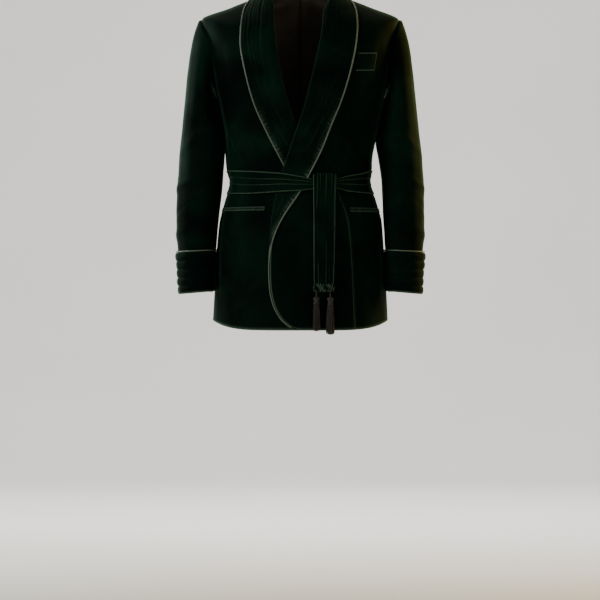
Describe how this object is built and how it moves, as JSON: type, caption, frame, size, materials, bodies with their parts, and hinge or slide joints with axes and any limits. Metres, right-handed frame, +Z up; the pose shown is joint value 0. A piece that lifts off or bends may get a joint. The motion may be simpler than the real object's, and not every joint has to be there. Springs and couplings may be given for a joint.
{
  "type": "worn smoking jacket held up by its wearer's shoulders",
  "caption": "Worn velvet smoking jacket with a corded shawl collar, quilted turn-back cuffs, jetted pockets and a tied sash whose end hangs with tassels.",
  "frame": {"origin": "middle of the neck at the height of the neck points, where the wearer's shoulders hold the jacket", "axes": "+Z up, the jacket faces -Y, +X is the wearer's left"},
  "size_m": [0.588, 0.302, 0.8468],
  "materials": {
    "velvet": "dark bottle green cotton velvet with a soft pile",
    "piping": "sage green satin corded piping",
    "tassel": "dark twisted silk strands"
  },
  "bodies": {
    "root": {"front_left": "velvet", "front_right": "velvet", "back_left": "velvet", "back_right": "velvet", "sleeve_top_left": "velvet", "sleeve_under_left": "velvet", "sleeve_top_right": "velvet", "sleeve_under_right": "velvet", "collar_left": "velvet", "collar_right": "velvet", "cuff_left": "velvet", "cuff_right": "velvet", "breast_welt": "velvet", "hip_jet_left": "velvet", "hip_jet_right": "velvet", "belt_band": "velvet", "belt_end": "velvet", "belt_hem": "velvet", "collar_cord_left": "piping", "collar_cord_right": "piping", "front_cord": "piping", "cuff_cord_left": "piping", "cuff_cord_right": "piping", "tassel_left": "tassel", "tassel_right": "tassel"}
  },
  "joints": []
}
